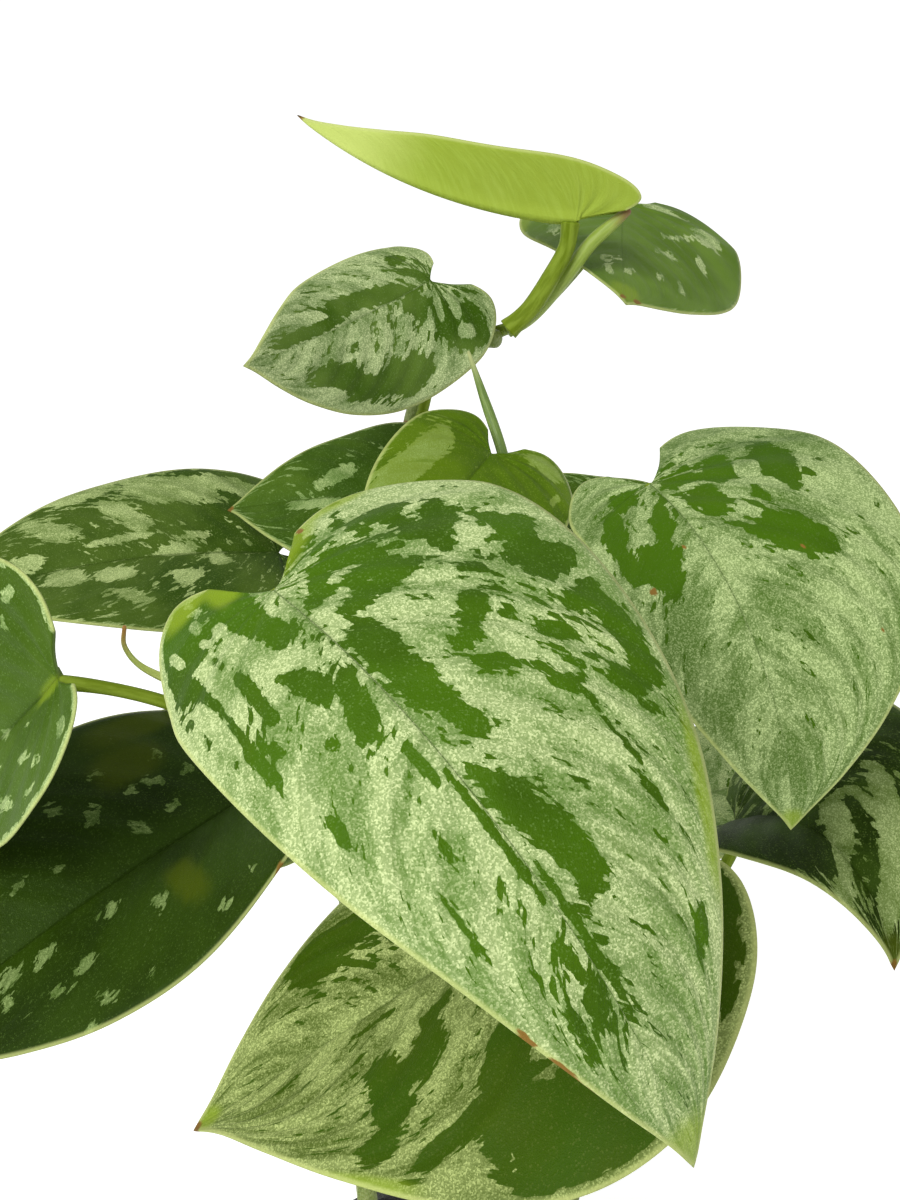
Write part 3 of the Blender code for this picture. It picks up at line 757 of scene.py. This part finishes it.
# patches on the flat blade, in millimetres: x along the midrib and y to the left of its middle,
# half its length and half its width, and its turn from the midrib in degrees where it has one
green_patches = {
    "leaf_front": [
        (25, 3.4, 9.6, 2.7, 3), (37, 5.2, 2.3, 1.6, 35), (12, 10, 7, 1.7, 100), (3, 10, 3.2, 2.5, 40),
        (8, 8.6, 2, 4.6), (5, 4, 4.4, 2, -25), (4, 25, 3.3, 1.7), (8, 22, 4.2, 1.9, -25),
        (5.5, 20.4, 2.3, 2, 60), (-1.6, 20, 2.7, 2, -20), (-2.4, 17.6, 1.4, 1.5, 80), (14, 30, 7, 1.9, 3),
        (21, 31.5, 2, 3, 20), (17.5, 28, 2.6, 1.5), (12.5, 32.6, 2.6, 1.3, -20), (31, 32, 4, 1.4),
        (29, 29.4, 1.3, 2.6), (38, 31, 6, 1.7, -12), (43, 28.5, 1.7, 2.7, 20), (42, 25.8, 2.1, 1.4, 20),
        (32, 22.8, 2.7, 0.8, 55), (39, 19.5, 2.2, 1, 75), (35.5, 17.5, 1.8, 0.7, 40),
        (22.6, 17, 2.3, 1.9, -30), (26.6, 12.6, 3.2, 1.4, -60), (32, 12.6, 2.5, 1.5, 60),
        (17.2, 20.4, 1.7, 0.8, 80), (50, 4, 7, 2.4, 14), (57.5, 5.6, 3.4, 2.1, 15),
        (43.5, 2.4, 2.2, 0.8, 20), (61, 4.6, 0.9, 1.8), (57, 18.8, 2, 0.6), (73, 14.3, 3.4, 0.8, -38),
        (46, 19.6, 6, 0.35), (64, 0.9, 9, 0.45), (-8, -5, 6, 3), (0, -5.4, 5, 2.4), (8, -4.2, 3.2, 2, 10),
        (18.5, -6.2, 4.7, 1.7, 12), (24, -3, 3.8, 1.5, -15), (29.6, -4.6, 2.6, 1.7, -20),
        (38.3, -2.6, 2.8, 0.7), (28.4, -8.9, 1, 0.8), (38, -14.6, 2.6, 0.8), (23.4, -14.5, 1, 0.8),
        (-8, -13, 5, 3.4), (-3.5, -14, 3, 2.4), (14, -12, 6, 1, -4), (10, -16.6, 8.6, 0.7, -3),
        (-1, -17.6, 5, 1.5, -10), (21, -17, 6, 0.8), (71.3, -2.2, 1.3, 1.2), (66, -2, 2, 0.7),
        (74, -5.6, 4, 0.5, -5), (56, -9.8, 5, 0.4), (50, -0.9, 8, 0.5), (48, -6.5, 3, 0.4, -8),
        (-6, 4.6, 5, 1.6, -50), (-12.6, 14, 1, 5)],
    "leaf_right": [
        (8, 22, 7, 4, -10), (4, 13, 5, 2.8, -5), (25, 15, 7.5, 4, 48), (12, 6, 4, 3, 10), (3, 5, 4, 1.6, 80),
        (14, 15.5, 3, 1.4), (1, -6, 4, 2.2), (7, -11, 5, 1.9, -15), (22, -9, 6, 3.6, -15),
        (18, -13.5, 9, 1.4), (13, -4, 5, 1.5, -15)],
    "leaf_under": [
        (44, 18, 7, 3.2, 90), (37, 15.5, 5, 2.6, 40), (20, 38, 12, 8), (25, 25, 5, 3.5, 60),
        (48, 25.5, 3, 2), (34, 30, 10, 1.6, 10), (47, -17, 9, 3.4), (52, -13, 4, 1.6, -20),
        (-8, 25, 12, 6, 60), (33, 9, 3, 1.4, 20), (44, 3.2, 4, 0.5)],
    "leaf_top_left": [
        (-1, 14, 5.5, 5.5, 70), (8, 3.6, 3.2, 2.4, 30), (4, 10, 5, 2.2, 70), (20, -3.4, 11, 2, -8),
        (40, -1.8, 12, 1.2), (38, 10, 7, 3, -15), (20, 16.5, 7, 3.6), (31, 15, 5, 2.6, -10),
        (3, -9.5, 2.4, 1.4), (2, -3, 3.4, 1.3, -50)],
    "leaf_low_right": [(20, -10, 12, 8), (30, -2, 10, 1.2, -20), (36, 6, 7, 0.9, -25)],
    "leaf_young": [(2, 16, 9, 5, 10), (12, 5, 12, 4), (0, -6, 10, 4), (17, -6, 9, 3, -10)],
}
silver_patches = {
    "leaf_front": [
        (4, -9.4, 3.5, 1.7, 5), (12, -7.4, 3.8, 1.6, 30), (7, -14.2, 5.8, 1.2), (12.5, -18.3, 6, 1.2),
        (-2.4, -8.8, 1.5, 0.9), (-7.4, -10.6, 1.7, 0.7), (-6, -15.6, 2.2, 0.7), (4.5, -2.1, 1.7, 0.5, 10),
        (-3, -11.4, 1.5, 0.6, 10), (3.6, 3, 2.6, 0.4, -25), (9.4, 4.4, 0.6, 2.2, 10),
        (6.2, 8.2, 0.5, 2.4, 10), (13.5, 2, 1.8, 0.7, 20)],
    "leaf_right": [
        (6, 17, 3, 2.2, -20), (13, 18, 2.6, 2, 10), (11, 12.5, 2.4, 2, -30), (18, 11, 1.8, 1, 40),
        (14, -8, 2, 1.5), (8, -7, 4, 0.8, -10), (26, -13, 2, 1.4, 30)],
    "leaf_top_left": [
        (0, 15, 2.2, 1.6, -30), (-1, 8, 3.4, 1, 70), (3.5, 7, 3, 0.8, 70), (44, 12, 5, 1.6, -15)],
    "leaf_far_left": [
        (41, 7, 4.5, 3, 10), (52, 4.5, 4, 4), (15.5, 3, 2.5, 3.5), (25, 11, 3, 3), (38, 17, 4, 1.8, -40),
        (24.5, -1.6, 4.5, 1.7, 4), (19, -5.6, 3.5, 1), (38, -6.4, 8, 1, 4), (36, -15, 7, 2.6, -50),
        (24, -23, 11, 5, -10), (54, -13, 7, 2.4, -30), (60, -4, 3.4, 2.4), (8, -24, 7, 3, -20),
        (45, -24, 8, 2, 20)],
    "leaf_low_left": [
        (43, 26.5, 2.6, 1.2, -70), (48, 29, 1.2, 1), (42.5, 16, 2, 1.8), (48, 17.6, 1.3, 1),
        (50.5, 16, 1.2, 0.9), (33.5, 8, 2.4, 1.6, 50), (47.5, 6.5, 2.6, 1.8, 60), (55, 5, 2.2, 2.6),
        (26, 17.5, 2.8, 1.1, 80), (18.5, 33, 2, 1, -70), (11, 32, 1.6, 0.9, 90), (35.5, 30.5, 1, 0.8),
        (20, -7.5, 3, 1.2, -55), (37, -9, 1.4, 1), (44, -11, 3, 0.6), (12, -15.5, 2.6, 1, -40),
        (16.5, -16.5, 1.6, 1.2), (26, -15, 2.4, 1.2, 70), (31, -21, 1.6, 1.4), (20.5, -24, 1.8, 1, -40),
        (8, -22, 1.4, 1), (5, -14, 1.2, 1), (12, -8, 1.6, 1.5), (58, 10, 2.4, 1.2, 40)],
    "leaf_left": [
        (4, 15, 1.8, 1.2), (10, 11.5, 3.2, 1, -20), (17, 17, 3.4, 1.4, -20), (6, 19.5, 2, 0.6),
        (-5, 13, 2, 1.8), (11, 4.5, 1.2, 0.7), (21, 0.5, 2.4, 1.4, -30), (-1, -18, 2, 1.2),
        (4, -14.5, 2, 0.7, 70), (22, 8, 1.4, 1)],
    "leaf_top_right": [
        (50, 17.3, 4, 1.1), (50.5, 11.2, 2.6, 1), (58, 1.5, 3.4, 1, -30), (55, -4.5, 2, 1.5),
        (62, -4, 3, 1, 10), (24, 24.5, 5, 1.2, 15), (13, 17, 9, 1.2, -40), (31, 13, 4, 2, -60),
        (4, 26, 6, 4, 10), (-6, 10, 3, 9), (30, -19, 8, 1.6), (52, -2, 1.4, 2)],
    "leaf_young": [(4, 17.5, 3, 1), (-6, 12, 5, 3, 60), (18, 17, 2.6, 2), (20, -11, 16, 3.4, -4)],
    "leaf_low_right": [
        (34, 14, 7, 2, -30), (30, 4, 6, 2.6, -30), (45, 5, 8, 2, -35), (40, -4, 8, 1.6, -30),
        (36, 10, 8, 1, -10)],
    "leaf_mid_left": [(27, 2, 6, 2), (22, -6, 5, 2, 30)],
}
# places where flecks of both are mixed
mixed_places = {
    "leaf_front": [(-5, -12, 9, 8), (4, -17, 16, 4), (70, -2, 9, 4), (30, 27, 15, 7), (0, 12, 9, 10)],
    "leaf_right": [(6, 10, 12, 13), (20, -9, 11, 5)],
    "leaf_under": [(18, 28, 14, 9), (45, -12, 10, 7)],
    "leaf_top_left": [(4, 2, 12, 9)],
}
# yellowed places and corky scars, put down in the same way
yellow_places = {
    "leaf_front": [
        (-7.5, 6, 7, 2.8, -50), (-12.2, 15, 2, 7), (-9, -4.5, 4, 2.4), (60, 25, 12, 1.2, -28), (98, 0, 6, 4),
        (-14, -9, 3, 5)],
    "leaf_right": [(76, 0, 3, 2)],
    "leaf_low_left": [(20, 18, 3, 8), (14, -23, 7, 5), (8, -33, 10, 4)],
    "leaf_top_right": [(60, 26, 14, 2.4, -32), (74, 0, 5, 4), (55, -21, 14, 3, 20), (20, -28, 16, 2)],
    "leaf_left": [(3, 1, 4, 2)],
    "leaf_low_right": [(56, 0, 4, 2)],
    "leaf_under": [(77, 0, 3, 2), (55, 27, 12, 1.6, -35)],
    "leaf_folded": [(78, 0, 30, 40)],
}
brown_places = {
    "leaf_front": [
        (-3.2, 1.5, 1.4, 0.7), (-9.6, 9.5, 0.9, 0.6), (83, -7.0, 4, 0.5, 17), (76, -9.1, 2.6, 0.5, 16),
        (70, -10.9, 1.6, 0.4, 14), (80, -7.4, 0.5, 0.4)],
    "leaf_right": [
        (29, 15.3, 0.5, 0.4), (46.5, 22.3, 0.6, 0.3, 90), (20.3, -3.4, 0.5, 0.4), (26.5, -12, 0.9, 0.6)],
    "leaf_low_left": [(8.5, 38.6, 1.6, 0.8), (32.5, -14.6, 0.5, 0.4)],
    "leaf_top_right": [(76, 3.2, 1.6, 0.8, -40), (77.5, -0.8, 1.2, 0.8), (74, 6.6, 1, 0.5, -40)],
    "leaf_under": [(79, 0, 1.4, 1), (44.7, -3.2, 0.5, 0.5)],
    "leaf_mid_left": [(49.4, 0, 1.4, 1)],
    "leaf_folded": [(72.6, 0, 1.4, 1)],
    "leaf_low_right": [(58, 0, 1, 0.8)],
}


def painted(lf, flat, places, paint=0.0, value=1.0):
    """Lay each of the leaf's spots over what is there: full inside it, fading out at its edge."""
    paint = np.zeros(len(flat)) + paint
    for x, y, long, wide, *turn in places.get(lf["name"], []):
        dx, dy = flat[:, 0] - x, flat[:, 1] - y
        angle = radians(*turn) if turn else 0
        c, s = cos(angle), sin(angle)
        reach = (np.abs((dx * c + dy * s) / long) ** 3 + np.abs((dy * c - dx * s) / wide) ** 3) ** (1 / 3)
        inside = np.clip((1.35 - reach) / 0.7, 0, 1)
        paint = paint * (1 - inside) + value * inside
    return paint


def vein_place(lf, flat):
    """Where each flat point lies among the side veins: which vein passes it, in millimetres of
    midrib, and how far out along it. Those of the lobes all start at the petiole."""
    x, y = flat[:, 0], np.maximum(np.abs(flat[:, 1]), 0.02)
    place = np.zeros((len(flat), 3))
    for side, width in ((1, lf["left"]), (-1, lf["right"])):
        margin = half_margin(lf, side, 200)
        margin = margin[np.argmin(margin[:, 0]):]
        half = np.interp(np.maximum(x, 0), margin[:, 0], np.abs(margin[:, 1]))
        out = np.minimum(y / np.maximum(half, 0.6), 1.1)
        lean = width / 38 * (24 * out + 16 * out ** 3)
        round_joint = 15 * (1 - np.arctan2(y, x) / np.arctan2(y, lean))
        vein = np.where(x > lean, x - lean, round_joint)
        run = np.hypot(y, np.minimum(x, lean))
        mine = (flat[:, 1] >= 0) == (side > 0)
        place[mine] = np.stack([vein, run, np.full(len(x), 40.0 * (side < 0))], 1)[mine]
    return place


def swing(value, weight):
    """A number from 0 to 1 as a swing to both sides of nothing."""
    return times(calc("SUBTRACT", value, 0.5), weight)


def leaf_skin(lf, seed):
    """Satin skin: a glossy green under patches of silver, where air under the skin scatters the
    light, cell by cell; duller over the side veins, with a pale hard rim and dry tips and scars."""
    look = dict(looks[lf["look"]], **lf)
    finish = Finish(lf["name"] + "_skin", 0.5, 0.07)
    vein, flat = finish.read("vein_place"), finish.read("flat_place")
    edge = finish.read("edge_gap")
    shift = (seed * 7.3, seed * 3.1, seed * 5.7)
    # blocks of silver and green that step along the fine side veins
    ragged = noise(vein, (1.3, 0.8, 1.0), 1, shift=shift)
    cell = cells(vein, (0.8, 0.42, 1.0), 0.85, "CHEBYCHEV", shift)
    spots = noise(cell.outputs["Position"], (0.3, 0.42, 1.0), shift=shift)
    value = add(swing(spots, 1.6 * look["wild"]), swing(chance(cell), 1.7), swing(ragged, 1.3), look["cover"])
    value = calc("SUBTRACT", value, times(finish.read("mark"), 2.6))
    value = add(value, ease(add(edge, times(ragged, 1.2)), 2.4, 1.2, 0.0, 2.4 * look["band"]))
    silver = ease(value, -0.04, 0.06)
    # the silver is duller in clouds, beside the green and in thin lines where a side vein runs
    lines = noise(vein, (0.8, 0.12, 1.0), 3, 0.55, shift)
    main_lines = noise(vein, (0.26, 0.03, 1.0), shift=shift)
    cloud = noise(vein, (0.14, 0.08, 1.0), shift=shift)
    bright = ease(add(times(cloud, 2.2), times(lines, 0.15), ease(value, 0.0, 1.1, 0.0, 0.3)), 1.0, 1.8)
    drawn = ease(add(times(lines, 0.3), main_lines), 0.78, 0.92, 0.0, 0.5)
    # the silver's grain: single glassy cells of the skin, some painted brighter as painted glints where they
    # would catch the light, a few of them in the green too
    grain = cells(flat, (4.6, 4.6, 1.0))
    spark = chance(grain)
    glint = times(calc("POWER", spark, 2.6), ease(bright, 0.0, 1.0, 0.5, 1.0))
    pale = blend(add(times(bright, 0.38), glint), look["dull"], look["silver"])
    pale = blend(drawn, pale, look["green"])
    tone = noise(flat, (0.05, 0.05, 1.0), 3, shift=shift)
    dark = blend(ease(tone, 0.35, 0.65), look["deep"], look["green"])
    dots = add(ease(spark, 0.86, 1.0, 0.0, 0.55), times(times(spark, lines), 0.2))
    dark = blend(dots, dark, look["dull"])
    top = blend(silver, dark, pale)
    top = blend(times(finish.read("midrib"), 0.35), top, look["deep"])
    below = blend(ease(lines, 0.4, 0.7, 0.0, 0.5), look["under"], look["dull"])
    skin = blend(finish.read("upper"), below, top)
    # yellowed places, the hard rim, brown scars, and the petiole's own green
    yellow = ease(add(finish.read("yellow"), times(cloud, 0.5)), 0.2, 1.3, 0.0, 0.7)
    skin = blend(yellow, skin, look["stain"])
    skin = blend(ease(edge, 0.9, 0.2, 0.0, 0.65), skin, (188, 198, 122))
    brown = ease(add(finish.read("brown"), times(ragged, 0.5)), 0.6, 0.95)
    skin = blend(brown, skin, (128, 98, 42))
    skin = blend(finish.read("stalk"), skin, blend(ease(lines, 0.35, 0.65), (100, 120, 20), (124, 144, 44)))
    finish.give("Roughness", ease(times(silver, spark), 0.0, 1.0, 0.46, 0.58))
    finish.bump(add(times(grain.outputs["Distance"], 0.5), times(lines, 1.2)), 0.00012)
    return finish.colour(skin)


def make_leaf(lf, seed, rows, columns):
    flat, faces = blade_surface(lf, rows, columns)
    middle = bend_blade(lf, flat[:, 0], flat[:, 1])
    normal = np.zeros_like(middle)
    for loop in faces:
        a, b, c = middle[list(loop[:3])]
        facing = np.cross(b - a, c - a)
        for v in loop:
            normal[v] += facing
    normal /= norm(normal, axis=1)[:, None]
    # the blade thins out at its edge, is creased along the midrib and quilted between its veins
    gap = margin_gap(lf, flat)
    place = vein_place(lf, flat)
    share = np.clip(flat[:, 0] / lf["length"], 0, 1)
    off_rib = np.abs(flat[:, 1])
    rib = hump(off_rib, midrib_half_width) * (1 - share) * (flat[:, 0] > -1)
    crease = hump(off_rib, crease_half_width) * (1 - 0.7 * share) * np.clip(flat[:, 0] / 4 - 0.5, 0, 1)
    quilt = np.sin(2 * pi * place[:, 0] / quilt_pitch) * np.clip(gap / 6, 0, 1) * np.clip(off_rib / 5, 0, 1)
    half = blade_thickness / 2 * (0.3 + 0.7 * np.sqrt(np.clip(gap / 1.2, 0, 1)))
    lift = (quilt_rise * quilt - crease_depth * crease)[:, None] * normal
    top = middle + normal * half[:, None] + lift
    below = middle - normal * (half + midrib_depth * rib)[:, None] + lift
    count = len(middle)
    solid = list(faces) + [face[::-1] for face in shifted(faces, count)]
    edges = {(f[k], f[(k + 1) % len(f)]) for f in faces for k in range(len(f))}
    solid += [(b, a, a + count, b + count) for a, b in edges if (b, a) not in edges]
    # the petiole, a little thicker at both its ends
    line = petiole_line(lf, 60)
    run = np.linspace(0, 1, len(line))
    radii = 1.0 - 0.22 * run + 0.18 * hump(run - 1, 0.1) + 0.12 * hump(run, 0.05)
    stem, stem_faces, along, around = rod(line, lf["stalk"] * radii, 24)
    solid += shifted(stem_faces, 2 * count)
    body = piece(lf["name"] + "_blade", np.vstack([top, below, stem]), solid, leaf_skin(lf, seed),
                 "young_leaf" if lf["look"] in ("young", "new") else "leaf_tissue", lf["name"])
    # what the skin reads: for the upper face, the lower face and the petiole in turn
    stem_place = np.stack([around * lf["stalk"], along, np.full(len(along), 80)], 1)
    sheet = np.column_stack([flat, np.zeros(count)])
    blank, nothing = np.zeros(count), np.zeros(len(along))
    mark = painted(lf, flat, mixed_places, value=0.28)
    mark = painted(lf, flat, silver_patches, painted(lf, flat, green_patches, mark), -1.0)
    yellow, brown = painted(lf, flat, yellow_places), painted(lf, flat, brown_places)
    midrib = hump(off_rib, 0.45) * np.clip(flat[:, 0] / 4, 0, 1) * (1 - share)
    kept = dict(vein_place=(place, place, stem_place), flat_place=(sheet, sheet + (0, 0, 9), stem_place),
                upper=(blank + 1, blank, nothing), stalk=(blank, blank, nothing + 1),
                edge_gap=(gap, gap, nothing + 9), mark=(mark, mark, nothing),
                yellow=(yellow, yellow, nothing), brown=(brown, brown, nothing),
                midrib=(midrib, midrib, nothing))
    for name, parts in kept.items():
        note(body, name, np.concatenate(parts))


for number, lf in enumerate(leaves):
    # the three large leaves in front are the finest
    make_leaf(lf, number + 1, *((150, 48) if number < 3 else (80, 28)))


# The spear: the newest leaf, still rolled tight round itself, which stands up as a smooth round
# shoot just past the end of the middle vine.
spear_line = [(10, 81, 297), (10.5, 85, 308), (7.8, 88.3, 319.4), (3.8, 96.2, 329.1), (0.2, 103.5, 337.8)]
spear_radii = [1.0, 1.05, 1.1, 1.1, 1.15, 1.2, 1.25, 1.25, 1.25, 1.2, 1.05, 0.85, 0.6, 0.35]


def shoot_skin(name, green, pale, tip, dry):
    """Young skin: fresh green, streaked along its length, drying to the tip's colour at its end."""
    finish = Finish(name, 0.45, 0.45)
    streaks = noise(finish.read("place"), (1.4, 0.15, 1.0), 4, 0.6)
    base = blend(ease(streaks, 0.3, 0.7), green, pale)
    finish.bump(streaks, 0.0002)
    return finish.colour(blend(ease(add(finish.read("share"), times(streaks, 0.1)), dry, 1.05), base, tip))


def make_shoot(node, name, line, radii, sides, count, material, slot):
    fine = np.interp(np.linspace(0, 1, count), np.linspace(0, 1, len(radii)), radii)
    points, faces, along, around = rod(even(catmull(line, 40), count), fine, sides)
    shoot = piece(name, points, faces, material, slot, node)
    note(shoot, "place", np.stack([around * 2, along, np.zeros(len(along))], 1))
    note(shoot, "share", along / along.max())


make_shoot("spear", "rolled_leaf", spear_line, spear_radii, 20, 80,
           shoot_skin("spear_skin", (84, 112, 40), (118, 142, 62), (176, 184, 120), 0.85), "young_leaf")


# The sheaths: the thin sleeves that the young leaves grew out of, rolled up on themselves. The
# upper one stands behind the folded leaf's petiole; the lower one has peeled off. Both dry at the tip.
sheath_line = [(-27.5, 28.5, 290), (-40, 29, 292), (-54, 28, 295), (-63, 27, 300), (-66.5, 27, 305),
               (-66, 27, 310)]
sheath_radii = [1.1, 1.5, 1.8, 1.9, 1.8, 1.6, 1.3, 1.0, 0.8, 0.6, 0.5, 0.4]
top_sheath_line = [(10.5, 131.6, 332.9), (17, 134, 337), (25, 136, 346), (31, 137, 354), (40, 137.5, 362)]
top_sheath_radii = [1.5, 1.8, 1.9, 1.9, 1.85, 1.8, 1.75, 1.7, 1.5, 0.9]
make_shoot("sheath", "dry_sheath", sheath_line, sheath_radii, 18, 60,
           shoot_skin("dry_sheath_skin", (158, 176, 78), (186, 196, 104), (172, 122, 56), 0.9), "dry_sheath")
make_shoot("sheath_top", "leaf_sheath", top_sheath_line, top_sheath_radii, 18, 60,
           shoot_skin("leaf_sheath_skin", (128, 152, 46), (150, 170, 70), (120, 84, 40), 0.9), "young_leaf")


# The studio: a pale floor that runs on behind, soft white light all round and one large soft
# light from above the left shoulder, and the camera close over the front leaf.
bpy.ops.mesh.primitive_plane_add(size=40, location=(0, 12, 0))
floor = bpy.context.object
floor.name = "floor"
floor_finish = Finish("floor_paper", 0.9, 0.1)
paper = noise(floor_finish.read("place"), 9, 3)
floor.data.materials.append(floor_finish.colour(blend(paper, (247, 247, 247), (252, 252, 252))))
note(floor, "place", corners(floor) * MM)
floor_finish.give("Emission Color", (1, 1, 1, 1))
floor_finish.give("Emission Strength", 0.5)

world = bpy.data.worlds.new("studio")
world.use_nodes = True
background = world.node_tree.nodes["Background"]
background.inputs["Color"].default_value = (1, 1, 1, 1)
# the backdrop is seen pure white, and lights the plant with less than that
seen = world.node_tree.nodes.new("ShaderNodeLightPath")
put(background.inputs["Strength"], ease(seen.outputs["Is Camera Ray"], 0.0, 1.0, 0.6, 1.0))
bpy.context.scene.world = world

key = bpy.data.lights.new("key", "AREA")
key.shape = "DISK"
key.size = 0.7
key.energy = 10.0
track = placed("key", key, (-0.45, -0.6, 1.1)).constraints.new("TRACK_TO")
track.target = placed("key_aim", None, (0, 0.05, 0.3))
track.track_axis = "TRACK_NEGATIVE_Z"
track.up_axis = "UP_Y"

camera = bpy.data.cameras.new("camera")
camera.lens = 39
camera.sensor_width = 36
camera.clip_start = 0.01
camera.clip_end = 100
eye = placed("camera", camera, (-0.004, -0.185, 0.438))
eye.rotation_euler = (radians(60), 0, 0)
bpy.context.scene.camera = eye
bpy.context.scene.view_settings.view_transform = "Standard"
